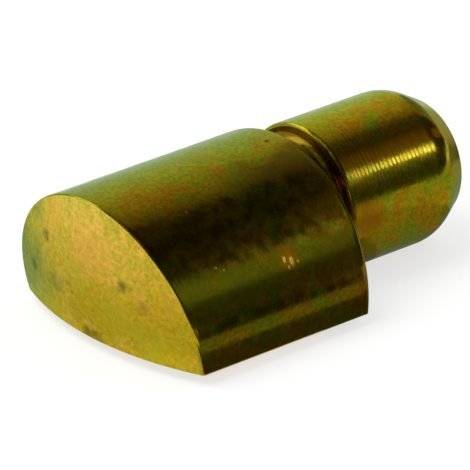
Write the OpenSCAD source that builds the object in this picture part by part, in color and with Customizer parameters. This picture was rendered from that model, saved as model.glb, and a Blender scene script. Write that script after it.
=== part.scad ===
// Shelf support pin: a stub peg that pushes into a cabinet's side, and a
// D-shaped head beside it that carries the shelf on its flat.
// One turned piece. X runs along the peg to its tip, the flat faces down, and
// the origin is on the peg's axis in the plane of the head's shoulder.

/* [Peg] */
// Diameter of the peg
peg_d = 6; // [5:0.1:8]
// Length of the peg, from the shoulder to its tip
peg_len = 7; // [5:0.5:14]
// Length of the taper at the peg's tip
tip_len = 1.2; // [0.5:0.1:2.5]
// Angle between the tip's taper and the peg's axis, in degrees
tip_angle = 30; // [10:1:45]
// Rounding where the peg's side runs into the taper
taper_round = 1.8; // [0.1:0.1:2.5]
// Rounding of the edge round the tip's end face
tip_round = 0.1; // [0.05:0.05:0.6]
// Rounding of the peg's edge beside the groove
peg_edge_round = 0.15; // [0.05:0.05:0.4]

/* [Groove] */
// Width of the groove between the shoulder and the peg
groove_w = 0.9; // [0.5:0.1:1.5]
// Depth of the groove below the peg's surface
groove_depth = 0.6; // [0.4:0.1:1.4]
// Rounding of the two corners in the bottom of the groove
groove_round = 0.35; // [0.05:0.05:0.45]

/* [Head] */
// Diameter that the head is turned to
head_d = 10; // [8:0.5:16]
// Height of the head, from its flat to its crest
head_h = 5.6; // [5:0.1:8]
// Length of the head, from the shoulder to the middle of its domed end
head_len = 9.5; // [7:0.5:16]
// Radius of the domed end
dome_r = 13; // [10:0.5:30]
// Height of the dome's centre above the peg's axis
dome_rise = 0.8; // [-1:0.1:2]
// Rounding of the head's edge at the shoulder
shoulder_round = 0.25; // [0.1:0.05:0.6]
// Width that is broken off the sharp rim of the domed end
rim_break = 0.15; // [0.05:0.05:0.4]
// Width of the bevel round the flat
flat_bevel = 0.15; // [0.05:0.05:0.4]

/* [Hidden] */
$fn = 144;

// how far a cutting shape runs past what it cuts
past = 1;

peg_r = peg_d / 2;
tip_r = peg_r - tip_len * tan(tip_angle);
neck_r = peg_r - groove_depth;

// the groove's corners never round more than the groove has room for
corner_r = min(groove_round, groove_depth, groove_w / 2);

// the head's crest is flush with the top of the peg
head_r = head_d / 2;
head_z = peg_r - head_r;
flat_z = peg_r - head_h;

// half the flat's width, where the head's round meets it
flat_half_w = sqrt(head_r * head_r - (head_z - flat_z) * (head_z - flat_z));

// the dome's centre, and the outline that the dome gives the flat
dome_x = dome_r - head_len;
dome_drop = dome_rise - head_z;
flat_end_r = sqrt(dome_r * dome_r - (dome_rise - flat_z) * (dome_rise - flat_z));

// A second sphere breaks the rim at about 45 degrees. The rim leans, because
// the dome isn't centred on the head, and the sphere's offset leans with it.
rim_reach = sqrt(dome_r * dome_r - head_r * head_r - dome_drop * dome_drop);
rim_drop = dome_drop * head_r / rim_reach;
rim_r = sqrt(2 * head_r * head_r + rim_drop * rim_drop);
rim_x = dome_x - rim_reach + rim_break + head_r;

function unit(v) = v / norm(v);

// A convex outline with each corner i rounded to the radius r[i].
module rounded_outline(p, r) {
    n = len(p);
    back = [for (i = [0 : n - 1]) unit(p[(i + n - 1) % n] - p[i])];
    on = [for (i = [0 : n - 1]) unit(p[(i + 1) % n] - p[i])];
    half = [for (i = [0 : n - 1]) acos(back[i] * on[i]) / 2];
    reach = [for (i = [0 : n - 1]) r[i] / tan(half[i])];
    polygon([
        for (i = [0 : n - 1], side = [back[i], on[i]])
            p[i] + side * reach[i]
    ]);
    for (i = [0 : n - 1])
        if (r[i] > 0) {
            centre = p[i] + unit(back[i] + on[i]) * r[i] / sin(half[i]);
            intersection() {
                translate(centre)
                    circle(r[i]);
                polygon([p[i], p[i] + back[i] * reach[i], centre, p[i] + on[i] * reach[i]]);
            }
        }
}

// A solid turned about the X axis. Its outline gives [radius, x].
module turned() {
    rotate([0, 90, 0])
        rotate_extrude()
            children();
}

// A fillet in a corner of a turned outline, open towards +radius and +x.
module inside_fillet(r) {
    difference() {
        square(r);
        translate([r, r])
            circle(r);
    }
}

// A bar along X with a ball-shaped end, as long again as the head.
module ball_ended(r, x, z) {
    translate([x, 0, z]) {
        sphere(r);
        rotate([0, 90, 0])
            cylinder(r = r, h = 2 * head_len + r);
    }
}

// The head's outline from the end: straight below, with a bevel at each side.
module above_flat() {
    w = flat_half_w - flat_bevel;
    h = head_h + past;
    polygon([[-w, flat_z], [w, flat_z], [w + h, flat_z + h], [-w - h, flat_z + h]]);
}

// The head's outline from the side, with a bevel where the flat meets the shoulder.
module behind_shoulder() {
    polygon([
        [-head_len - past, flat_z],
        [-flat_bevel, flat_z],
        [0, flat_z + flat_bevel],
        [0, peg_r + past],
        [-head_len - past, peg_r + past]
    ]);
}

module head() {
    intersection() {
        // the turned bar, rounded at the shoulder
        translate([0, 0, head_z])
            turned()
                rounded_outline(
                    [[0, 0], [head_r, 0], [head_r, -head_len - past], [0, -head_len - past]],
                    [0, shoulder_round, 0, 0]);
        // the flat and its bevels along the sides and the shoulder
        translate([-head_len - past, 0, 0])
            rotate([90, 0, 90])
                linear_extrude(head_len + 2 * past)
                    above_flat();
        translate([0, head_r + past, 0])
            rotate([90, 0, 0])
                linear_extrude(2 * (head_r + past))
                    behind_shoulder();
        // the domed end, its broken rim, and the bevel where it meets the flat
        ball_ended(dome_r, dome_x, dome_rise);
        ball_ended(rim_r, rim_x, head_z + rim_drop);
        translate([dome_x, 0, flat_z])
            cylinder(
                r1 = flat_end_r - flat_bevel,
                r2 = flat_end_r - flat_bevel + head_h + past,
                h = head_h + past);
    }
}

module neck() {
    turned() {
        translate([0, -past])
            square([neck_r, groove_w + 2 * past]);
        translate([neck_r, 0])
            inside_fillet(corner_r);
        translate([neck_r, groove_w])
            mirror([0, 1])
                inside_fillet(corner_r);
    }
}

module peg() {
    turned()
        rounded_outline(
            [[0, groove_w], [peg_r, groove_w], [peg_r, peg_len - tip_len], [tip_r, peg_len], [0, peg_len]],
            [0, peg_edge_round, taper_round, tip_round, 0]);
}

module pin() {
    color("darkkhaki") {
        head();
        neck();
        peg();
    }
}

pin();
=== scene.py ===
"""Shelf support pin: the finished look of one turned, yellow-passivated pin.

The pin is one piece: a stub peg with fine turning rings, a groove, and a D-shaped
head with a flat below and a grainy domed end. It lies along X, with the peg to +X.
"""

import math
import random

import bmesh
import bpy
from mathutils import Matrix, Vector


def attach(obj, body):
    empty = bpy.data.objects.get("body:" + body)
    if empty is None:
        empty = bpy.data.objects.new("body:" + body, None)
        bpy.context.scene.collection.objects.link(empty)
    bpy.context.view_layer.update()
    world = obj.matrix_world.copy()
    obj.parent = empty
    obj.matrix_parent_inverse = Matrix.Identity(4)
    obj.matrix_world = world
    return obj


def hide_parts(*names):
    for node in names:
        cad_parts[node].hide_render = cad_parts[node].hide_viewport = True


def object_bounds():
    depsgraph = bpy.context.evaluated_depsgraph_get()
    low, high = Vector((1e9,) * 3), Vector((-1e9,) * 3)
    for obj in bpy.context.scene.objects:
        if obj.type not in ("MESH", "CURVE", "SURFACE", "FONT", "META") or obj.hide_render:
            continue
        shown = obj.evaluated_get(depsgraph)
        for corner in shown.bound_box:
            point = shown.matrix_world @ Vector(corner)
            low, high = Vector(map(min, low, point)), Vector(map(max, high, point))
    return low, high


bl_info = {
    "name": "Shelf Support Pin",
    "version": (1, 0, 0),
    "blender": (4, 5, 0),
    "location": "3D View > Sidebar > Shelf Pin",
    "description": "Makes a turned shelf support pin and the small studio it is shown in",
    "category": "Mesh",
}

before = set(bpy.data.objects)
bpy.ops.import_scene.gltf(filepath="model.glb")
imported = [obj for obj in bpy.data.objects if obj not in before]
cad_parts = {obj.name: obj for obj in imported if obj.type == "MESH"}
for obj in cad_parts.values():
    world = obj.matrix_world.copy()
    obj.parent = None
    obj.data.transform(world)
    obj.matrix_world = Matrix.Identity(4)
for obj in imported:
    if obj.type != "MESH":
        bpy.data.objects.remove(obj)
CAD_LOW, CAD_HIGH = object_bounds()
MM = 0.001

# how the parts of the pin's surface are told apart
SIDE, END, TURNED = range(3)

# points closer than TOUCHING are one, a point within ON_PLANE of a cut's plane lies on it, and
# NEAR tells apart places that lie well away from each other
TOUCHING = 2e-8
ON_PLANE = 1e-9
NEAR = 1e-6

# a face is square to an axis when its normal reaches this far along it
SQUARE = 0.999

# the domed end's faces point this far along -X while it is shaped, and this far once it is
# grained, and they lie within END_DEPTH of the head's furthest point
SMOOTH_END = -0.8
GRAINED_END = -0.75
END_DEPTH = 2.2 * MM

# edges sharper than this stay sharp, and how strongly large faces hold the shading
SHARP_FROM = math.radians(38)
FACE_WEIGHT = 80

# where the points of one turning ring lie along its pitch
RING_STEPS = (0.0, 0.17, 0.34, 0.5, 0.66, 0.83)

# the head's bar is this much longer than the head, until its end is pressed onto the dome
SPARE = 0.7 * MM

# the peg's neck runs this far into the head before the two are joined
SINK = 1.5 * MM

# the domed end's grain: the size of its noise in millimetres, and its share of the grain's depth
GRAINS = ((0.9, 0.6), (0.28, 0.55), (0.12, 0.3))

# the lined tunnel over the pin. Each lining says how bright it is at angles in degrees up from
# +Y. It starts with the end's lining, and each zone says over what stretch of X, in millimetres,
# it goes over to the next.
TENT_RADIUS = 70 * MM
END_LINING = ((0, 0.6), (26, 0.6), (33, 1.6), (55, 1.6), (61, 0.03), (180, 0.03))
HEAD_LINING = ((0, 0.93), (22, 0.78), (36, 0.64), (50, 0.44), (72, 0.18), (80, 0.10), (86, 0.02),
               (112, 0.01), (138, 0.03), (148, 0.20), (157, 0.22), (164, 0.05), (180, 0.04))
PEG_LINING = ((0, 0.93), (22, 0.78), (36, 0.64), (50, 0.50), (64, 0.38), (80, 0.20), (90, 0.06),
              (108, 0.04), (120, 0.13), (132, 0.18), (150, 0.14), (157, 0.04), (180, 0.05))
TIP_LINING = ((0, 0.93), (22, 0.78), (36, 0.64), (50, 0.44), (72, 0.19), (84, 0.03), (180, 0.02))
ZONES = ((2, 12, HEAD_LINING), (50, 53, PEG_LINING), (63, 70, TIP_LINING))

# the bright strip on the tunnel's side: brightness, two corners in millimetres, how far out it
# hangs, how far round in degrees, and its cool light
STRIP = (4.0, (55.0, -5), (67, 4.5), 66 * MM)
STRIP_TURN = 141.5
COOL = (1.0, 0.97, 2.6)

# the mats low over the floor: name, brightness, two corners and lift in millimetres, and slant.
# The head's mats end along the line that the reflected rays take over the floor.
MATS = (
    ("peg_mat", 0.28, (-2, -70), (8, 3), 0.01, 0.0),
    ("peg_mat", 0.12, (-40, -70), (-2, -13.2), 0.01, 0.0),
    ("peg_mat", 0.16, (-1, -4.4), (3.6, 3), 0.02, 0.0),
    ("peg_mat", 0.25, (3.6, -4.4), (9, 3), 0.02, 0.0),
    ("tip_mat", 0.38, (8, -70), (85, -5), 0.01, 0.0),
    ("tip_mat", 0.46, (8, -5), (23, 16), 0.01, 0.0),
    ("tip_mat", 0.17, (23, -5), (85, 16), 0.01, 0.0),
    ("far_mat", 0.85, (8, 16), (30, 75), 0.01, 0.0),
    ("end_mat", 0.55, (-18, -6), (-9.6, 12), 0.01, 0.0),
    ("head_mat", 0.02, (-16, -75), (-2.3, -13.2), 0.03, 0.77),
    ("head_mat", 0.20, (-16, -13.2), (-2.3, -8.0), 0.03, 0.77),
    ("head_mat", 0.05, (-16, -8.0), (-2.3, -5.1), 0.03, 0.77),
)

# the small card that keeps the strip out of the head's shoulder: brightness, corners and height
FLAG = (0.03, (1.6, -7.6), (3.8, -5.2), 2.6 * MM)

# the upright cards past the two ends: name, brightness, place along X, and stretch along Y and Z,
# in millimetres
UPRIGHTS = (
    ("end_card", 1.3, -77, (-80, 80), (-10, 22)),
    ("end_card", 1.0, -77, (40, 80), (22, 62)),
    ("end_dark", 0.04, -77, (-80, 40), (22, 240)),
    ("end_dark", 0.04, -77, (40, 80), (62, 240)),
    ("tip_card", 0.47, 85, (6, 80), (-3, 14)),
    ("tip_card", 0.20, 85, (12, 80), (14, 80)),
    ("tip_dark", 0.03, 85, (-80, 6), (4, 80)),
    ("tip_dark", 0.03, 85, (6, 12), (14, 80)),
)

# the soft lamp overhead, the nearest and farthest that the camera sees, and what the floor's
# grey and its own glow come to where it is seen
LAMP_SIZE = 160 * MM
LAMP_PLACE = Vector((-120 * MM, 40 * MM, 220 * MM))
CAMERA_CLIP = (0.01, 3.0)
FLOOR_WHITE = 1.06
WHITE = (1.0, 1.0, 1.0)

# single places on the film, in millimetres: place, radius and how soft the edge is
CREST_PIT = ((-0.9, -0.19, 3.0), 0.10, 0.5)
NICK_STAIN = ((-3.5, -4.36, 0.46), 0.30, 1.0)
PEG_BLUSH = ((1.73, -2.99, 0.1), 0.7, 0.6)
PEG_SCUFF = ((5.80, -2.10, 2.03), 0.24, 1.0)

# how rough the bare metal and the scuff are
BARE_ROUGH = 0.33
SCUFF_ROUGH = 0.48

# small places on the head's side where the film is gone, in millimetres: place, radius, and how
# much it is drawn out upwards
BARE_SPOTS = (
    ((-3.69, -4.34, 0.50), 0.07, 0.36),
    ((-3.39, -4.41, 0.38), 0.10, 0.36),
    ((-3.12, -4.44, 0.32), 0.04, 0.40),
    ((-3.58, -4.48, 0.23), 0.06, 0.60),
    ((-6.50, -2.18, 2.50), 0.05, 1.00),
    ((-6.69, -4.02, 0.98), 0.05, 1.00),
    ((-6.39, -4.11, 0.84), 0.04, 1.00),
)

# which way the drawn-out places lean, added to the side's normal
BARE_LEAN = (0.054, 0.052, 0.080)

# how deep the fine waves in the shiny film are, and the grain in the domed end's film
FILM_WAVES = 0.004 * MM
END_GRAIN = 0.035 * MM

# the grime in a mark reaches this share of its radius, and covers it at this depth in millimetres
GRIME_REACH = 0.7
GRIME_DEPTH = 0.12

# marks on the domed end: place across, height, radius, depth, all in millimetres
END_MARKS = (
    (2.48, 0.85, 0.30, 0.060),
    (2.40, 0.62, 0.24, 0.050),
    (3.61, -0.87, 0.35, 0.040),
    (2.13, -0.77, 0.30, 0.025),
    (1.09, -0.66, 0.20, 0.060),
    (0.93, -0.93, 0.18, 0.055),
    (-1.88, 0.30, 0.28, 0.035),
    (-1.95, 0.06, 0.22, 0.040),
    (-2.82, -0.28, 0.40, 0.025),
    (0.36, -2.22, 0.26, 0.050),
    (-0.05, -2.26, 0.24, 0.050),
)

# wider patches of another film there: colour, place across, height, radius and strength
END_PATCHES = (
    ("end_orange", -0.3, 1.3, 1.0, 0.60),
    ("end_orange", 1.8, 1.7, 0.7, 0.45),
    ("end_orange", -4.2, 0.2, 0.4, 0.45),
    ("end_lime", 0.3, -0.2, 0.6, 0.70),
    ("end_lime", -1.5, -1.0, 0.9, 0.45),
    ("end_lime", -3.1, -1.8, 1.0, 0.45),
    ("end_orange", 0.1, 0.0, 0.18, 0.60),
    ("end_green", 2.1, -0.9, 0.5, 0.60),
    ("grime", 3.6, -0.9, 0.25, 0.40),
    ("grime", -1.9, 0.3, 0.28, 0.45),
    ("grime", 0.2, -2.4, 0.35, 0.50),
    ("grime", -0.4, -2.5, 0.30, 0.40),
    ("grime", -2.9, -0.4, 0.30, 0.20),
)


def length(name, description, default, low=0.0, high=0.05):
    """A property that holds a length in metres."""
    return bpy.props.FloatProperty(
        name=name, description=description, default=default, min=low, max=high,
        unit="LENGTH", precision=5)


def colour(name, description, default):
    """A property that holds a linear colour."""
    return bpy.props.FloatVectorProperty(
        name=name, description=description, default=default, size=3, min=0.0, max=1.0,
        subtype="COLOR")


def share(name, description, default, high=1.0):
    """A property that holds a plain number from 0 up."""
    return bpy.props.FloatProperty(
        name=name, description=description, default=default, min=0.0, max=high)


class PinSizes(bpy.types.PropertyGroup):
    """The pin's own sizes."""

    peg_d: length("Peg diameter", "Diameter of the peg", CAD_HIGH.z - CAD_LOW.z)
    peg_len: length("Peg length", "From the shoulder to the peg's tip", CAD_HIGH.x)
    tip_len: length("Tip length", "Length of the taper at the tip", 1.2 * MM)
    tip_angle: bpy.props.FloatProperty(
        name="Tip angle", description="Between the taper and the peg's axis",
        default=math.radians(30), min=0.1, max=0.8, subtype="ANGLE")
    taper_round: length("Taper rounding", "Where the peg's side runs into the taper", 1.8 * MM)
    tip_round: length("Tip rounding", "Rounding of the edge round the tip's end face", 0.1 * MM)
    edge_round: length("Peg edge rounding", "Rounding of the edge beside the groove", 0.15 * MM)
    groove_w: length("Groove width", "From the shoulder to the peg", 0.9 * MM)
    groove_depth: length("Groove depth", "Below the peg's surface", 0.6 * MM)
    groove_round: length("Groove corner", "Rounding in the bottom of the groove", 0.35 * MM)
    head_d: length("Head diameter", "Diameter that the head is turned to", CAD_HIGH.y - CAD_LOW.y)
    head_h: length("Head height", "From the flat to the crest", 5.6 * MM)
    head_len: length("Head length", "From the shoulder to the middle of the dome", -CAD_LOW.x)
    dome_r: length("Dome radius", "Radius of the domed end", 13 * MM)
    dome_rise: length("Dome rise", "Height of the dome's centre above the peg's axis", 0.8 * MM)
    shoulder_round: length("Shoulder rounding", "Rounding of the edge at the shoulder", 0.25 * MM)
    flat_round: length("Flat's edge", "Rounding of the edges round the flat", 0.15 * MM)
    rim_round: length("Rim rounding", "Rounding of the domed end's rim", 0.09 * MM)
    ring_pitch: length("Ring pitch", "Feed of the turning tool, from ring to ring", 0.19 * MM)
    ring_depth: length("Ring depth", "Depth of the turning rings", 0.0016 * MM)
    grain_depth: length("Grain depth", "Depth of the grain on the domed end", 0.03 * MM)


class PinFinish(bpy.types.PropertyGroup):
    """The colours of the passivated zinc; some of them also carry painted light and shade."""

    gold: colour("Gold film", "The film where it is of middling thickness", (0.50, 0.29, 0.005))
    green: colour("Green film", "The film where it is thick", (0.33, 0.34, 0.008))
    far_green: colour("Far film", "The film on the crest and the far side", (0.33, 0.34, 0.024))
    # yellow is a tint painted where the strip's highlight falls on the peg
    yellow: colour("Yellow film", "The film on the peg's near side", (0.50, 0.40, 0.010))
    red: colour("Red film", "The film between the gold and the green", (0.54, 0.21, 0.005))
    edge_tint: colour("Film at a glance", "Tint at a glancing angle", (0.58, 0.74, 0.57))
    end_gold: colour("End, gold", "The domed end's main colour", (0.70, 0.455, 0.012))
    # end_pale also paints light on the end's top and the taper's top, and end_olive paints shade at
    # the end's bottom
    end_pale: colour("End, pale", "The domed end towards its crest", (0.78, 0.60, 0.105))
    end_olive: colour("End, olive", "The domed end's greener patches", (0.52, 0.40, 0.010))
    # end_lime and end_green also make the painted glancing reflection on the end's far side
    end_lime: colour("End, lime", "The domed end's yellow-green flecks", (0.57, 0.53, 0.032))
    end_green: colour("End, green", "The domed end's far side", (0.27, 0.33, 0.065))
    end_orange: colour("End, orange", "The domed end's warmer patches", (0.94, 0.49, 0.085))
    bare: colour("Bare metal", "Where the film is scratched through", (1.0, 0.65, 0.04))
    burnt: colour("Burnt film", "Round the nick in the side", (0.95, 0.36, 0.006))
    # brown is burnt film and also painted shade beside the shoulder
    brown: colour("Brown film", "The burnt film beside the shoulder", (0.17, 0.095, 0.008))
    # the darker groove film is also painted shade in the groove
    groove: colour("Groove film", "The film in the groove", (0.225, 0.145, 0.008))
    grime: colour("Grime", "What lies in the pits", (0.12, 0.09, 0.02))
    shine: share("Peg's shine", "How much brighter the peg's film is than the head's", 1.3, 2.0)
    side_rough: share("Side roughness", "Roughness of the head's turned side", 0.15)
    turned_rough: share("Turned roughness", "Roughness of the peg", 0.16)
    end_rough: share("End roughness", "Roughness of the domed end", 0.58)


class Studio(bpy.types.PropertyGroup):
    """The camera, the floor and the light."""

    azimuth: bpy.props.FloatProperty(
        name="Azimuth", description="Where the camera stands round the pin, from -Y towards +X",
        default=math.radians(-41.65), subtype="ANGLE")
    elevation: bpy.props.FloatProperty(
        name="Elevation", description="Height of the camera above the horizon",
        default=math.radians(24.36), subtype="ANGLE")
    distance: length("Distance", "From the camera to the pin's origin", 230 * MM, high=2.0)
    lens: bpy.props.FloatProperty(
        name="Lens", description="Focal length in millimetres", default=476.4)
    aim: bpy.props.FloatVectorProperty(
        name="Aim", description="The point at the picture's middle", unit="LENGTH", precision=5,
        default=(-1.553 * MM, 0.812 * MM, -0.938 * MM))
    floor_size: length("Floor size", "Length of the floor's sides", 900 * MM, high=2.0)
    floor_grey: share("Floor", "How much light the floor throws back", 0.4)
    fill: share("Fill", "Light of the white walls on the floor", 0.62, high=4.0)
    lamp_power: share("Lamp power", "Power of the soft overhead lamp in watts", 0.30, high=10.0)


# ---------------------------------------------------------------- working in edit mode

def only(obj):
    """Makes obj the one selected and active object."""
    bpy.ops.object.select_all(action="DESELECT")
    obj.select_set(True)
    bpy.context.view_layer.objects.active = obj


def start_edit(obj, kind="VERT"):
    """Opens obj in edit mode with nothing selected."""
    only(obj)
    bpy.ops.object.mode_set(mode="EDIT")
    bpy.ops.mesh.select_mode(type=kind)
    bpy.ops.mesh.select_all(action="DESELECT")


def end_edit():
    """Goes back to object mode."""
    bpy.ops.object.mode_set(mode="OBJECT")


def pick(obj, kind, test):
    """Selects the vertices, edges or faces that pass the test, and stops if there are none."""
    bpy.ops.mesh.select_mode(type=kind)
    bpy.ops.mesh.select_all(action="DESELECT")
    mesh = bmesh.from_edit_mesh(obj.data)
    mesh.normal_update()
    elements = {"VERT": mesh.verts, "EDGE": mesh.edges, "FACE": mesh.faces}[kind]
    found = [element for element in elements if not element.hide and test(element)]
    if not found:
        raise RuntimeError(f"nothing to select on {obj.name}")
    for element in found:
        element.select_set(True)
    bmesh.update_edit_mesh(obj.data, loop_triangles=False, destructive=False)


def apply_modifier(obj, kind, **settings):
    """Adds a modifier with these settings and applies it."""
    only(obj)
    modifier = obj.modifiers.new(kind.title(), kind)
    for name, value in settings.items():
        setattr(modifier, name, value)
    bpy.ops.object.modifier_apply(modifier=modifier.name)


def arc(centre, radius, start, end, steps):
    """Points (along, out) on an arc, its angles in degrees from the X axis."""
    turn = [math.radians(start + (end - start) * i / steps) for i in range(steps + 1)]
    return [(centre[0] + radius * math.cos(a), centre[1] + radius * math.sin(a)) for a in turn]


# ---------------------------------------------------------------- the peg and the groove

def ring_marks(start, end, pitch, depth, dice):
    """Distance and depth of the points along a turned stretch, ring by ring."""
    points = []
    at = start
    while at < end - pitch:
        width = pitch * dice.uniform(0.8, 1.2)
        # the rings grow over the first millimetre or so
        cut = depth * dice.uniform(0.35, 1.0) * min(1.0, 0.45 + at / (2 * MM))
        for part in RING_STEPS:
            points.append((at + part * width, cut * math.sin(math.pi * part) ** 2))
        at += width
    return points + [(end, 0.0)]


def turned_stretch(first, last, pitch, depth, dice):
    """Points from first to last, with the turning rings cut below the straight line."""
    first, last = Vector(first), Vector(last)
    way = (last - first).normalized()
    inward = Vector((way.y, -way.x))
    marks = ring_marks(0.0, (last - first).length, pitch, depth, dice)
    return [tuple(first + way * along + inward * cut) for along, cut in marks]


def peg_profile(sizes):
    """The outline (along X, out from the axis) of the neck and the peg."""
    peg_r, neck_r = sizes.peg_d / 2, sizes.peg_d / 2 - sizes.groove_depth
    tip_r = peg_r - sizes.tip_len * math.tan(sizes.tip_angle)
    lean = math.degrees(sizes.tip_angle)
    corner, edge = sizes.groove_round, sizes.edge_round
    blend, tip = sizes.taper_round, sizes.tip_round
    wall, end = sizes.groove_w, sizes.peg_len
    # how far a rounding reaches along the lines that it joins
    base_reach = blend * math.tan(sizes.tip_angle / 2)
    tip_reach = tip * math.tan((math.pi / 2 - sizes.tip_angle) / 2)
    side_end = end - sizes.tip_len - base_reach
    taper_from = (end - sizes.tip_len + base_reach * math.cos(sizes.tip_angle),
                  peg_r - base_reach * math.sin(sizes.tip_angle))
    taper_to = (end - tip_reach * math.cos(sizes.tip_angle),
                tip_r + tip_reach * math.sin(sizes.tip_angle))
    # the tool stops just short of the middle of the tip's face
    face_stop = 0.12 * MM
    dice = random.Random(6)
    pitch, depth = sizes.ring_pitch, sizes.ring_depth
    profile = [(-SINK, 0.0), (-SINK, neck_r + corner)]
    profile += arc((corner, neck_r + corner), corner, 180, 270, steps=7)
    profile += arc((wall - corner, neck_r + corner), corner, 270, 360, steps=9)
    profile += arc((wall + edge, peg_r - edge), edge, 180, 90, steps=6)
    profile += turned_stretch((wall + edge, peg_r), (side_end, peg_r), pitch, depth, dice)
    profile += arc((side_end, peg_r - blend), blend, 90, 90 - lean, steps=8)
    profile += turned_stretch(taper_from, taper_to, pitch * 0.7, depth * 0.5, dice)
    profile += arc((end - tip, tip_r - tip_reach), tip, 90 - lean, 0, steps=7)
    profile += turned_stretch((end, tip_r - tip_reach), (end, face_stop), pitch, depth * 0.5, dice)
    profile.append((end, 0.0))
    return drop_doubles(profile)


def drop_doubles(points, gap=1e-7):
    """The points without those that lie on the one before them."""
    kept = [points[0]]
    for point in points[1:]:
        if math.dist(point, kept[-1]) > gap:
            kept.append(point)
    return kept


def turn_profile(name, profile, steps):
    """Draws the outline above the X axis and spins it into a solid."""
    bpy.ops.mesh.primitive_plane_add(size=MM, location=(0, 0, 0))
    obj = bpy.context.object
    obj.name = name
    start_edit(obj)
    bpy.ops.mesh.select_all(action="SELECT")
    bpy.ops.mesh.merge(type="CENTER")
    bpy.ops.transform.translate(value=(profile[0][0], 0, profile[0][1]))
    for before, after in zip(profile, profile[1:]):
        step = (after[0] - before[0], 0, after[1] - before[1])
        bpy.ops.mesh.extrude_region_move(TRANSFORM_OT_translate={"value": step})
    bpy.ops.mesh.select_all(action="SELECT")
    bpy.ops.mesh.spin(steps=steps, angle=2 * math.pi, center=(0, 0, 0), axis=(1, 0, 0))
    bpy.ops.mesh.select_all(action="SELECT")
    bpy.ops.mesh.remove_doubles(threshold=TOUCHING)
    bpy.ops.mesh.normals_make_consistent(inside=False)
    end_edit()
    return obj


# ---------------------------------------------------------------- the head

def head_blank(sizes):
    """The head's round bar, turned about its own axis, with a rounded shoulder."""
    head_r, corner = sizes.head_d / 2, sizes.shoulder_round
    far = -sizes.head_len - SPARE
    profile = [(far, 0.0), (far, head_r)]
    profile += arc((-corner, head_r - corner), corner, 90, 0, steps=6)
    profile.append((0.0, 0.0))
    blank = turn_profile("head", drop_doubles(profile), steps=240)
    start_edit(blank, "FACE")
    # each end becomes one face
    for at_shoulder in (True, False):
        pick(blank, "FACE", lambda f: (
            abs(f.normal.x) > SQUARE and (f.calc_center_median().x > far / 2) == at_shoulder))
        bpy.ops.mesh.dissolve_faces()
    bpy.ops.mesh.select_all(action="SELECT")
    bpy.ops.transform.translate(value=(0, 0, sizes.peg_d / 2 - head_r))
    end_edit()
    return blank


def cut_off(point, outward):
    """Cuts away what lies outside a plane, and closes the cut."""
    bpy.ops.mesh.select_all(action="SELECT")
    bpy.ops.mesh.bisect(
        plane_co=point, plane_no=outward, use_fill=True, clear_outer=True, threshold=ON_PLANE)


def mill_flat(bar, sizes, steps=4):
    """Mills the flat, and rounds its two long edges and its edge at the shoulder."""
    head_r, corner = sizes.head_d / 2, sizes.flat_round
    head_z = sizes.peg_d / 2 - head_r
    flat_z = sizes.peg_d / 2 - sizes.head_h
    # the centre of the rounding lies one radius inside the flat and inside the round
    drop = flat_z + corner - head_z
    reach = math.sqrt((head_r - corner) ** 2 - drop ** 2)
    start_edit(bar)
    cut_off((0, 0, flat_z), (0, 0, -1))
    for i in range(1, steps):
        below = math.radians(90) - i / steps * math.atan2(reach, -drop)
        for side in (-1, 1):
            outward = Vector((0, side * math.cos(below), -math.sin(below)))
            cut_off(Vector((0, side * reach, flat_z + corner)) + corner * outward, outward)
        turn = math.radians(90) * i / steps
        outward = Vector((math.sin(turn), 0, -math.cos(turn)))
        cut_off(Vector((-corner, 0, flat_z + corner)) + corner * outward, outward)
    # the flat is cut into strips, so that its outline stays true where it is drawn in triangles
    least_area = 20 * MM * MM
    pick(bar, "FACE", lambda f: f.normal.z < -SQUARE and f.calc_area() > least_area)
    bpy.ops.mesh.hide(unselected=True)
    cut_across("Y", -sizes.head_d / 2, sizes.head_d / 2, parts=72)
    bpy.ops.mesh.reveal(select=False)
    end_edit()


def cut_across(axis, low, high, parts):
    """Cuts what isn't hidden into parts along an axis."""
    direction = Vector([float(axis == name) for name in "XYZ"])
    for i in range(1, parts):
        bpy.ops.mesh.select_all(action="SELECT")
        place = direction * (low + (high - low) * i / parts)
        bpy.ops.mesh.bisect(plane_co=place, plane_no=direction, threshold=ON_PLANE)


def at_far_end(sizes, x):
    """Whether x lies at the far end of the head's bar, past the head's own length."""
    return x < -sizes.head_len - SPARE / 2


def grid_end(bar, sizes, margin, step):
    """Cuts a fine grid into the bar's far end, inside a smooth margin along its rim."""
    middle = (0, 0, sizes.peg_d / 2 - sizes.head_h / 2)
    start_edit(bar, "FACE")
    pick(bar, "FACE", lambda f: at_far_end(sizes, f.calc_center_median().x))
    # the margin is two inset rings, the outer one a little wider
    for part in (0.6, 0.4):
        shrink = 1 - margin * part / (sizes.head_d / 2)
        bpy.ops.mesh.extrude_region_move(TRANSFORM_OT_translate={"value": (0, 0, 0)})
        bpy.ops.transform.resize(value=(1, shrink, shrink), center_override=middle)
    bpy.ops.mesh.hide(unselected=True)
    cut_across("Y", -sizes.head_d / 2, sizes.head_d / 2, int(sizes.head_d / step))
    cut_across("Z", sizes.peg_d / 2 - sizes.head_h, sizes.peg_d / 2, int(sizes.head_h / step))
    bpy.ops.mesh.select_all(action="SELECT")
    end_edit()
    grain = bar.vertex_groups.new(name="grain")
    grain.add([v.index for v in bar.data.vertices if v.select and not v.hide], 1.0, "REPLACE")
    start_edit(bar, "FACE")
    bpy.ops.mesh.reveal(select=False)
    end_edit()


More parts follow.
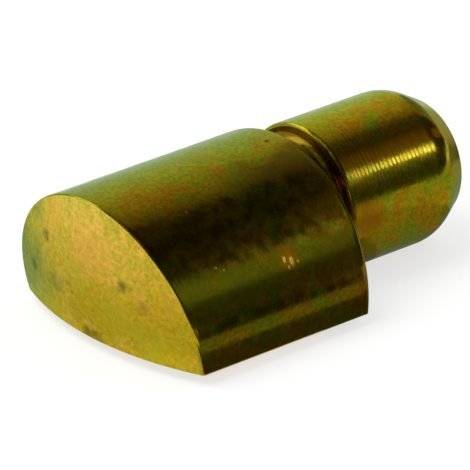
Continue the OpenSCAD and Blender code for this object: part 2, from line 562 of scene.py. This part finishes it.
def dome_end(bar, sizes):
    """Presses the bar's far end onto the dome's sphere, straight along X, and rounds its rim."""
    cap = bar.vertex_groups.new(name="cap")
    cap.add([v.index for v in bar.data.vertices if at_far_end(sizes, v.co.x)], 1.0, "REPLACE")
    centre = (sizes.dome_r - sizes.head_len, 0, sizes.dome_rise)
    bpy.ops.mesh.primitive_ico_sphere_add(subdivisions=8, radius=sizes.dome_r, location=centre)
    ball = bpy.context.object
    apply_modifier(
        bar, "SHRINKWRAP", target=ball, wrap_method="PROJECT", use_project_x=True,
        use_positive_direction=True, use_negative_direction=False, vertex_group="cap")
    bpy.data.objects.remove(ball)
    start_edit(bar, "EDGE")
    pick(bar, "EDGE", lambda e: (
        sorted(f.normal.x < SMOOTH_END for f in e.link_faces) == [False, True]))
    bpy.ops.mesh.bevel(offset=sizes.rim_round, segments=3, affect="EDGES", clamp_overlap=False)
    end_edit()


def slice_side(bar, cuts):
    """Cuts the long faces of the bar's side across."""
    least_length = 6 * MM
    start_edit(bar, "EDGE")
    pick(bar, "EDGE", lambda e: abs(e.verts[0].co.x - e.verts[1].co.x) > least_length)
    bpy.ops.mesh.subdivide(number_cuts=cuts)
    end_edit()


def grain_end(bar, sizes):
    """Roughens the domed end, always below the dome's own surface."""
    ruler = bpy.data.objects.new("ruler", None)
    bpy.context.scene.collection.objects.link(ruler)
    ruler.scale = (MM, MM, MM)
    bpy.context.view_layer.update()
    for size, part in GRAINS:
        clouds = bpy.data.textures.new("grain", "CLOUDS")
        clouds.noise_scale = size
        clouds.noise_depth = 2
        apply_modifier(
            bar, "DISPLACE", texture=clouds, texture_coords="OBJECT",
            texture_coords_object=ruler, direction="X", vertex_group="grain",
            strength=-sizes.grain_depth * part, mid_level=1.0)
    bpy.data.objects.remove(ruler)


def press_marks(bar, sizes):
    """Presses the small marks into the domed end."""
    dome_from = 2 * MM - sizes.head_len
    start_edit(bar)
    for across, high, radius, depth in END_MARKS:
        mesh = bmesh.from_edit_mesh(bar.data)
        place = Vector((across * MM, high * MM))
        near = min((v for v in mesh.verts if v.co.x < dome_from),
                   key=lambda v: (v.co.yz - place).length)
        near.select_set(True)
        bmesh.update_edit_mesh(bar.data, loop_triangles=False, destructive=False)
        bpy.ops.transform.translate(
            value=(depth * MM, 0, 0), use_proportional_edit=True,
            proportional_edit_falloff="SMOOTH", proportional_size=radius * MM,
            use_proportional_connected=True)
        bpy.ops.mesh.select_all(action="DESELECT")
    end_edit()


def form_head(sizes):
    """The whole head: turned, milled, domed, grained and marked."""
    bar = head_blank(sizes)
    mill_flat(bar, sizes)
    grid_end(bar, sizes, margin=0.3 * MM, step=0.065 * MM)
    dome_end(bar, sizes)
    slice_side(bar, cuts=60)
    grain_end(bar, sizes)
    press_marks(bar, sizes)
    return bar


# ---------------------------------------------------------------- finishes

class Tree:
    """The node tree of a material or of the world, built node by node."""

    def __init__(self, owner):
        owner.use_nodes = True
        self.nodes = owner.node_tree.nodes
        self.links = owner.node_tree.links

    def give(self, socket, value):
        """Joins a node or one of its outputs to a socket, or sets a plain value on it."""
        if isinstance(value, bpy.types.Node):
            value = value.outputs[0]
        if isinstance(value, bpy.types.NodeSocket):
            self.links.new(value, socket)
        elif socket.type == "RGBA":
            socket.default_value = (*value, 1.0)
        else:
            socket.default_value = value

    def add(self, kind, inputs=None, **settings):
        """A new node with these settings, and what its inputs are given."""
        node = self.nodes.new(kind)
        for name, value in settings.items():
            setattr(node, name, value)
        for name, value in (inputs or {}).items():
            self.give(node.inputs[name], value)
        return node

    def math(self, operation, first, second):
        """What an operation makes of two values."""
        return self.add("ShaderNodeMath", {0: first, 1: second}, operation=operation).outputs[0]

    def product(self, first, *others):
        """All the values multiplied."""
        for other in others:
            first = self.math("MULTIPLY", first, other)
        return first


class Film(Tree):
    """A coat on metal, its patterns laid out in the piece's own millimetres."""

    def __init__(self, name):
        self.material = bpy.data.materials.new(name)
        super().__init__(self.material)
        self.place = self.millimetres((1, 1, 1))
        self.x, self.y, self.z = self.add("ShaderNodeSeparateXYZ", {0: self.place}).outputs

    def millimetres(self, stretch):
        """Object coordinates in millimetres, stretched for a pattern."""
        where = self.add("ShaderNodeTexCoord")
        scale = [s / MM for s in stretch]
        mapping = self.add("ShaderNodeMapping", {"Scale": scale, "Vector": where.outputs["Object"]})
        return mapping.outputs["Vector"]

    def noise(self, scale, detail=3.0, rough=0.5, distortion=0.0, place=None):
        """Cloudy noise: the larger the scale, the finer it is."""
        node = self.add("ShaderNodeTexNoise", {
            "Scale": scale, "Detail": detail, "Roughness": rough, "Distortion": distortion,
            "Vector": place or self.place})
        return node.outputs["Fac"]

    def swing(self, noise, width):
        """The noise spread over this width, half of it to either side of 0."""
        return self.product(self.math("SUBTRACT", noise, 0.5), width)

    def ramp(self, source, low, high, from_value=0.0, to_value=1.0):
        """The source spread from low..high to the two values, softly."""
        node = self.add("ShaderNodeMapRange", {
            "Value": source, "From Min": low, "From Max": high,
            "To Min": from_value, "To Max": to_value}, interpolation_type="SMOOTHSTEP")
        return node.outputs["Result"]

    def band(self, source, rise, fall):
        """1 between two soft edges, which lie over the stretches rise and fall of the source."""
        return self.product(self.ramp(source, *rise), self.ramp(source, *fall))

    def mix(self, factor, first, second, blend="MIX"):
        """One colour laid over another by a factor."""
        node = self.add("ShaderNodeMix", data_type="RGBA", blend_type=blend)
        sockets = {s.identifier: s for s in (*node.inputs, *node.outputs)}
        self.give(sockets["Factor_Float"], factor)
        self.give(sockets["A_Color"], first)
        self.give(sockets["B_Color"], second)
        return sockets["Result_Color"]

    def lay(self, base, *coats):
        """The base under coats of (factor, colour), each over the one before."""
        for factor, tint in coats:
            base = self.mix(factor, base, tint)
        return base

    def shade(self, base, light, dark_level, light_level):
        """The base times a grey that goes from one level to the other as light goes from 0 to 1."""
        grey = self.mix(light, (dark_level,) * 3, (light_level,) * 3)
        return self.mix(1.0, base, grey, "MULTIPLY")

    def bump(self, height, strength, distance):
        """The surface's normal, moved by a pattern of heights."""
        return self.add("ShaderNodeBump", {
            "Strength": strength, "Distance": distance, "Height": height}).outputs["Normal"]

    def vector(self, operation, inputs):
        """A vector operation's node."""
        return self.add("ShaderNodeVectorMath", inputs, operation=operation)

    def disc(self, across, high, radius, strength, wobble=None):
        """A soft round patch as seen along X, its edge moved about by a wobble."""
        flat = self.vector("MULTIPLY", {0: self.place, 1: (0.0, 1.0, 1.0)})
        away = self.vector("DISTANCE", {0: flat, 1: (0.0, across, high)}).outputs["Value"]
        if wobble is not None:
            away = self.math("ADD", away, self.product(wobble, radius))
        return self.ramp(away, 0.0, radius * 1.5, strength, 0.0)

    def spot(self, centre, radius, soft, squeeze=(1, 1, 1)):
        """1 inside a soft round patch, and 0 outside it; a squeeze below 1 draws it out."""
        middle = [c * s for c, s in zip(centre, squeeze)]
        away = self.vector("DISTANCE", {0: self.millimetres(squeeze), 1: middle}).outputs["Value"]
        return self.ramp(away, radius * (1 - soft), radius * (1 + soft), 1.0, 0.0)

    def close(self, finish, base, rough, normal):
        """The material: bare metal's shader under the film's colour, roughness and normal."""
        shader = self.nodes["Principled BSDF"]
        self.give(shader.inputs["Base Color"], base)
        self.give(shader.inputs["Metallic"], 1.0)
        self.give(shader.inputs["Specular Tint"], finish.edge_tint)
        self.give(shader.inputs["Roughness"], rough)
        self.give(shader.inputs["Normal"], normal)
        return self.material


def film_colour(film, finish, radius, scale=1.0):
    """The mottled colour of the passivation: gold, with green and red drifts and specks, and a
    darker groove film that is also painted shade in the groove.
    """
    drift = film.noise(0.5 * scale, detail=2.0, distortion=0.8)
    blush = film.noise(1.1 * scale, distortion=0.6)
    specks = film.noise(2.6 * scale, rough=0.6)
    grain = film.noise(6.5, rough=0.65)
    base = film.lay(
        finish.gold,
        (film.ramp(drift, 0.42, 0.58), finish.green),
        (film.ramp(film.y, -0.32 * radius, 0.0, 0.0, 0.6), finish.green),
        (film.ramp(blush, 0.50, 0.66, 0.0, 0.75), finish.red),
        (film.ramp(specks, 0.46, 0.64, 0.0, 0.45), finish.green),
        (film.ramp(film.y, -0.16 * radius, 0.16 * radius, 0.0, 0.85), finish.far_green))
    base = film.shade(base, film.ramp(grain, 0.36, 0.64), 0.83, 1.16)
    return film.lay(
        base,
        (film.ramp(film.y, 0.64 * radius, 0.84 * radius, 0.0, 0.6), finish.gold),
        # the darker film in the groove is also painted shade in the recess
        (film.band(film.x, (-0.25, 0.0), (1.0, 0.85)), finish.groove))


def side_finish(finish):
    """The head's turned side: smooth and glossy, with a burnt band that is also painted shade
    beside the shoulder, a nick and faint marks.
    """
    film = Film("side_film")
    patchy = film.ramp(film.noise(1.5, detail=4.0, rough=0.6), 0.40, 0.58, 0.3, 1.0)
    near = film.math("ADD", film.y, film.swing(film.noise(0.9), 2.4))
    green_band = film.product(
        film.band(film.z, (-0.6, 0.2), (1.6, 0.6)), film.ramp(film.y, -3.5, -4.2, 0.0, 0.7), patchy)
    # the burnt band is brown film and also painted shade on the head's near side by the shoulder
    burnt_shade_band = film.product(
        film.band(near, (-0.4, -1.3), (-3.2, -2.2)), film.ramp(film.x, -5.0, -1.6, 0.0, 0.75))
    base = film.lay(
        film_colour(film, finish, radius=5.0),
        (green_band, finish.green),
        (burnt_shade_band, finish.brown),
        (film.spot(*CREST_PIT), finish.grime),
        (film.product(film.spot(*NICK_STAIN), 0.8), finish.burnt))
    rough = film.ramp(
        film.noise(2.0, detail=4.0), 0.3, 0.7, finish.side_rough - 0.05, finish.side_rough + 0.07)
    nick = 0.0
    for centre, radius, squeeze in BARE_SPOTS:
        bare = film.spot(centre, radius, 0.7, (1.0, 1.0, squeeze))
        base = film.mix(bare, base, finish.bare)
        rough = film.math("MAXIMUM", rough, film.product(bare, BARE_ROUGH))
        if squeeze < 1.0:
            nick = film.math("MAXIMUM", bare, nick)
    # the metal in the nick leans away from the side round it
    waves = film.bump(film.noise(6.0, detail=2.0), 0.10, FILM_WAVES)
    lean = film.vector("SCALE", {0: BARE_LEAN, "Scale": nick})
    normal = film.vector("NORMALIZE", {0: film.vector("ADD", {0: waves, 1: lean})})
    return film.close(finish, base, rough, normal)


def end_finish(finish):
    """The domed end: matt, grainy and golden, with grime in its pits, and painted light on its top,
    painted shade at its bottom and a painted glancing reflection on its far side.
    """
    film = Film("end_film")
    mottle = film.noise(2.4, detail=4.0, rough=0.65)
    fleck = film.noise(6.5, detail=2.0)
    blush = film.noise(1.1, rough=0.6, distortion=0.8)
    wander = film.swing(film.noise(0.55, distortion=0.5), 4.0)
    high = film.math("ADD", film.z, wander)
    far = film.math("ADD", film.y, wander)
    # pale and the olive layers below paint light on the end's top and shade towards its bottom
    pale = film.product(film.ramp(high, -1.6, 2.6), film.ramp(film.y, -3.6, 0.4, 0.4, 1.0))
    base = film.lay(
        finish.end_gold,
        (pale, finish.end_pale),
        (film.ramp(high, 0.2, -3.0, 0.0, 0.8), finish.end_olive),
        (film.ramp(blush, 0.48, 0.64, 0.0, 0.55), finish.end_orange),
        (film.ramp(mottle, 0.46, 0.62, 0.0, 0.5), finish.end_lime),
        (film.ramp(fleck, 0.44, 0.66, 0.0, 0.30), finish.end_olive),
        # lime and green towards the far side are a painted glancing reflection
        (film.ramp(far, -0.6, 3.4, 0.0, 0.45), finish.end_lime),
        (film.ramp(far, 1.9, 4.6, 0.0, 0.95), finish.end_green),
        # the olive along the bottom edge is painted shade
        (film.ramp(film.z, -2.0, -2.6, 0.0, 0.55), finish.end_olive))
    base = film.shade(base, film.ramp(film.noise(5.0, rough=0.7), 0.35, 0.65), 0.89, 1.12)
    wobble = film.swing(film.noise(2.2), 3.0)
    for tint, across, up, radius, strength in END_PATCHES:
        patch = film.disc(across, up, radius, strength, wobble)
        base = film.mix(patch, base, getattr(finish, tint))
    for across, up, radius, depth in END_MARKS:
        pit = film.disc(across, up, radius * GRIME_REACH, depth / GRIME_DEPTH)
        base = film.mix(pit, base, finish.grime)
    rough = film.ramp(mottle, 0.3, 0.7, finish.end_rough - 0.06, finish.end_rough + 0.1)
    normal = film.bump(film.noise(5.0, detail=4.0, rough=0.6), 1.0, END_GRAIN)
    return film.close(finish, base, rough, normal)


def turned_finish(finish):
    """The peg: the same film over bright turning rings, with a scuff at the taper, a yellow tint
    painted where the strip's highlight falls, and painted light on the taper's top.
    """
    film = Film("turned_film")
    belt = film.product(
        film.band(film.y, (-1.7, -2.0), (-2.4, -2.2)), film.ramp(film.z, 0.5, 1.0, 0.0, 0.7))
    # crest is the band where the strip's highlight falls: its yellow is a painted highlight tint
    crest = film.product(
        film.band(film.y, (-2.25, -2.40), (-2.80, -2.65)), film.ramp(film.z, 0.5, 1.0, 0.0, 0.6))
    base = film.lay(
        film_colour(film, finish, radius=3.0, scale=1.15),
        (belt, finish.red),
        (crest, finish.yellow))
    base = film.mix(1.0, base, (finish.shine,) * 3, "MULTIPLY")
    scuff = film.spot(*PEG_SCUFF)
    taper = film.ramp(film.x, 5.8, 6.2)
    base = film.lay(
        base,
        (film.product(film.spot(*PEG_BLUSH), 0.8), finish.red),
        (scuff, finish.burnt),
        (film.product(taper, 0.4), finish.far_green),
        # the paler top of the taper is painted light
        (film.product(taper, film.ramp(film.z, 0.8, 2.0, 0.0, 0.45)), finish.end_pale))
    rough = film.ramp(
        film.noise(2.5, detail=4.0), 0.3, 0.7,
        finish.turned_rough - 0.04, finish.turned_rough + 0.06)
    rough = film.math("MAXIMUM", rough, film.product(scuff, SCUFF_ROUGH))
    scratches = film.noise(1.0, place=film.millimetres((26.0, 0.7, 0.7)))
    return film.close(finish, base, rough, film.bump(scratches, 0.25, FILM_WAVES))


def lay_finishes(pin, finish, sizes):
    """Gives each face the finish of its part of the surface."""
    for material in (side_finish(finish), end_finish(finish), turned_finish(finish)):
        pin.data.materials.append(material)
    end_from = -sizes.head_len + END_DEPTH
    for face in pin.data.polygons:
        if face.center.x > NEAR:
            face.material_index = TURNED
        elif face.center.x < end_from and face.normal.x < GRAINED_END:
            face.material_index = END
        else:
            face.material_index = SIDE


# ---------------------------------------------------------------- the stage

def place_camera(scene, studio):
    """The camera, at its angle round the pin and aimed at the picture's middle."""
    data = bpy.data.cameras.new("camera")
    data.lens = studio.lens
    data.clip_start, data.clip_end = CAMERA_CLIP
    camera = bpy.data.objects.new("camera", data)
    scene.collection.objects.link(camera)
    turn, rise = studio.azimuth, studio.elevation
    camera.location = studio.distance * Vector(
        (math.sin(turn) * math.cos(rise), -math.cos(turn) * math.cos(rise), math.sin(rise)))
    look = Vector(studio.aim) - camera.location
    camera.rotation_euler = look.to_track_quat("-Z", "Y").to_euler()
    scene.camera = camera


def empty_tree(owner):
    """The owner's node tree, with nothing in it."""
    tree = Tree(owner)
    tree.nodes.clear()
    return tree


def seen_rays(tree):
    """1 for the rays that show the white surroundings: camera, glossy and transmission."""
    path = tree.add("ShaderNodeLightPath").outputs
    either = tree.math("MAXIMUM", path["Is Camera Ray"], path["Is Glossy Ray"])
    return tree.math("MAXIMUM", either, path["Is Transmission Ray"])


def light_world(scene, studio):
    """White walls all round: plain white where they are seen, and a soft fill elsewhere."""
    scene.world = bpy.data.worlds.new("white_walls")
    tree = empty_tree(scene.world)
    fill = tree.add("ShaderNodeBackground", {"Color": WHITE, "Strength": studio.fill})
    white = tree.add("ShaderNodeBackground", {"Color": WHITE})
    choice = tree.add("ShaderNodeMixShader", {0: seen_rays(tree), 1: fill, 2: white})
    tree.add("ShaderNodeOutputWorld", {"Surface": choice})


def lay_floor(studio):
    """A pale floor under the peg, which can't be seen from below."""
    bpy.ops.object.select_all(action="DESELECT")
    bpy.ops.mesh.primitive_plane_add(size=studio.floor_size, location=(0, 0, CAD_LOW.z))
    floor = bpy.context.object
    floor.name = "floor"
    material = bpy.data.materials.new("pale_floor")
    tree = empty_tree(material)
    grey = studio.floor_grey
    matt = tree.add("ShaderNodeBsdfDiffuse", {"Color": (grey,) * 3})
    glow = tree.add("ShaderNodeEmission", {
        "Color": (FLOOR_WHITE - grey,) * 3, "Strength": seen_rays(tree)})
    lit = tree.add("ShaderNodeAddShader", {0: matt, 1: glow})
    clear = tree.add("ShaderNodeBsdfTransparent")
    below = tree.add("ShaderNodeNewGeometry").outputs["Backfacing"]
    choice = tree.add("ShaderNodeMixShader", {0: below, 1: lit, 2: clear})
    tree.add("ShaderNodeOutputMaterial", {"Surface": choice})
    floor.data.materials.append(material)


def settle(obj):
    """Puts the object's place, turn and size into its mesh."""
    only(obj)
    bpy.ops.object.transform_apply(location=True, rotation=True, scale=True)


def glossy_only(obj):
    """Lets the card show in the metal's reflections and nowhere else."""
    obj.visible_camera = False
    obj.visible_diffuse = False
    obj.visible_shadow = False
    obj.visible_transmission = False
    obj.visible_volume_scatter = False


def glow_material(name, level, tint=WHITE):
    """A lit lining: level is a number, or a function that makes the level from nodes."""
    material = bpy.data.materials.new(name)
    tree = empty_tree(material)
    strength = level(tree) if callable(level) else level
    glow = tree.add("ShaderNodeEmission", {"Color": tint, "Strength": strength})
    tree.add("ShaderNodeOutputMaterial", {"Surface": glow})
    return material


def graded(tree, half_turns, lining):
    """A lining's brightness, from how many half turns round the tunnel a point lies."""
    ramp = tree.add("ShaderNodeValToRGB", {"Fac": half_turns})
    elements = ramp.color_ramp.elements
    while len(elements) < len(lining):
        elements.new(0.5)
    for element, (degrees, level) in zip(elements, lining):
        element.position = degrees / 180
        element.color = (level, level, level, 1)
    return ramp


def tent_level(tree):
    """How bright the tunnel is: each zone's lining, one after another along X."""
    where = tree.add("ShaderNodeTexCoord").outputs["Object"]
    along, across, high = tree.add("ShaderNodeSeparateXYZ", {0: where}).outputs
    angle = tree.math("ARCTAN2", tree.math("MAXIMUM", high, 0.0), across)
    half_turns = tree.math("DIVIDE", angle, math.pi)
    level = graded(tree, half_turns, END_LINING)
    for start, end, lining in ZONES:
        reached = tree.add("ShaderNodeMapRange", {
            "From Min": start * MM, "From Max": end * MM, "Value": along})
        zone = graded(tree, half_turns, lining)
        level = tree.add("ShaderNodeMix", {0: reached, 2: level, 3: zone})
    return level


def hang_tent():
    """A lined tunnel over the pin, along X, that only the metal reflects."""
    bpy.ops.object.select_all(action="DESELECT")
    bpy.ops.mesh.primitive_cylinder_add(
        vertices=96, radius=TENT_RADIUS, depth=4 * TENT_RADIUS, end_fill_type="NOTHING",
        location=(1.2 * TENT_RADIUS, 0, 0), rotation=(0, math.pi / 2, 0))
    tent = bpy.context.object
    tent.name = "tent"
    settle(tent)
    start_edit(tent)
    bpy.ops.mesh.select_all(action="SELECT")
    bpy.ops.mesh.bisect(
        plane_co=(0, 0, CAD_LOW.z), plane_no=(0, 0, 1), clear_inner=True, threshold=ON_PLANE)
    end_edit()
    tent.data.materials.append(glow_material("tent_lining", tent_level))
    glossy_only(tent)


def lay_card(name, level, low, high, height, slant=0.0, tint=WHITE):
    """A flat card from corner low to corner high, its near side moved along X by a slant."""
    bpy.ops.object.select_all(action="DESELECT")
    bpy.ops.mesh.primitive_plane_add(size=1, location=(0, 0, 0))
    card = bpy.context.object
    card.name = name
    card.scale = ((high[0] - low[0]) * MM, (high[1] - low[1]) * MM, 1)
    card.location = ((high[0] + low[0]) / 2 * MM, (high[1] + low[1]) / 2 * MM, height)
    settle(card)
    start_edit(card)
    for edge_y in (low[1], high[1]):
        pick(card, "VERT", lambda v: abs(v.co.y - edge_y * MM) < NEAR)
        bpy.ops.transform.translate(value=(-slant * edge_y * MM, 0, 0))
    end_edit()
    card.data.materials.append(glow_material(name, level, tint))
    glossy_only(card)
    return card


def stand_card(name, level, along, across, high):
    """An upright card at a place along X, across along Y and high along Z, in millimetres."""
    card = lay_card(name, level, (-high[1], across[0]), (-high[0], across[1]), 0)
    card.rotation_euler = (0, math.pi / 2, 0)
    card.location = (along * MM, 0, 0)
    settle(card)


def lay_cards():
    """The mats round the pin, the tunnel's bright strip and its flag, and the upright cards."""
    for name, level, low, high, lift, slant in MATS:
        lay_card(name, level, low, high, CAD_LOW.z + lift * MM, slant)
    strip = lay_card("strip", *STRIP, tint=COOL)
    strip.rotation_euler = (math.radians(STRIP_TURN - 90), 0, 0)
    settle(strip)
    lay_card("flag", *FLAG)
    for upright in UPRIGHTS:
        stand_card(*upright)


def hang_lamp(studio):
    """The soft lamp overhead that gives the pin its shadow."""
    data = bpy.data.lights.new("overhead", "AREA")
    data.shape = "SQUARE"
    data.size = LAMP_SIZE
    data.energy = studio.lamp_power
    lamp = bpy.data.objects.new("overhead", data)
    bpy.context.scene.collection.objects.link(lamp)
    lamp.location = LAMP_PLACE
    lamp.rotation_euler = (-LAMP_PLACE).to_track_quat("-Z", "Y").to_euler()


# ---------------------------------------------------------------- operators and panel

class SHELFPIN_OT_make_pin(bpy.types.Operator):
    """Make the pin: turn the peg, form the head, join them and lay the finish"""

    bl_idname = "shelf_pin.make_pin"
    bl_label = "Make Pin"

    def execute(self, context):
        sizes, finish = context.scene.pin_sizes, context.scene.pin_finish
        head = form_head(sizes)
        peg = turn_profile("peg", peg_profile(sizes), steps=200)
        apply_modifier(head, "BOOLEAN", operation="UNION", object=peg, solver="EXACT")
        bpy.data.objects.remove(peg)
        head.name = head.data.name = "pin_body"
        start_edit(head)
        bpy.ops.mesh.select_all(action="SELECT")
        bpy.ops.mesh.remove_doubles(threshold=TOUCHING)
        end_edit()
        lay_finishes(head, finish, sizes)
        only(head)
        bpy.ops.object.shade_smooth_by_angle(angle=SHARP_FROM)
        apply_modifier(head, "WEIGHTED_NORMAL", keep_sharp=True, weight=FACE_WEIGHT)
        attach(head, "root")
        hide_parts("pin")
        return {"FINISHED"}


class SHELFPIN_OT_make_stage(bpy.types.Operator):
    """Make the floor, the light and the camera"""

    bl_idname = "shelf_pin.make_stage"
    bl_label = "Make Stage"

    def execute(self, context):
        studio = context.scene.pin_studio
        place_camera(context.scene, studio)
        light_world(context.scene, studio)
        lay_floor(studio)
        hang_tent()
        lay_cards()
        hang_lamp(studio)
        context.scene.view_settings.view_transform = "Standard"
        return {"FINISHED"}


class SHELFPIN_PT_panel(bpy.types.Panel):
    """The pin's sizes, finish and stage"""

    bl_idname = "SHELFPIN_PT_panel"
    bl_label = "Shelf Support Pin"
    bl_space_type = "VIEW_3D"
    bl_region_type = "UI"
    bl_category = "Shelf Pin"

    def draw(self, context):
        layout = self.layout
        for title, settings, operator in (
                ("Sizes", context.scene.pin_sizes, SHELFPIN_OT_make_pin),
                ("Finish", context.scene.pin_finish, None),
                ("Stage", context.scene.pin_studio, SHELFPIN_OT_make_stage)):
            box = layout.box()
            box.label(text=title)
            for name in settings.__annotations__:
                box.prop(settings, name)
            if operator is not None:
                box.operator(operator.bl_idname)


CLASSES = (
    PinSizes, PinFinish, Studio, SHELFPIN_OT_make_pin, SHELFPIN_OT_make_stage, SHELFPIN_PT_panel)


def register():
    """Registers the classes and gives the scene their settings."""
    for one in CLASSES:
        bpy.utils.register_class(one)
    bpy.types.Scene.pin_sizes = bpy.props.PointerProperty(type=PinSizes)
    bpy.types.Scene.pin_finish = bpy.props.PointerProperty(type=PinFinish)
    bpy.types.Scene.pin_studio = bpy.props.PointerProperty(type=Studio)


def unregister():
    """Takes back what register did."""
    del bpy.types.Scene.pin_studio
    del bpy.types.Scene.pin_finish
    del bpy.types.Scene.pin_sizes
    for one in reversed(CLASSES):
        bpy.utils.unregister_class(one)


def main():
    """Makes the pin and its stage."""
    register()
    bpy.ops.shelf_pin.make_pin()
    bpy.ops.shelf_pin.make_stage()


if __name__ == "__main__":
    main()
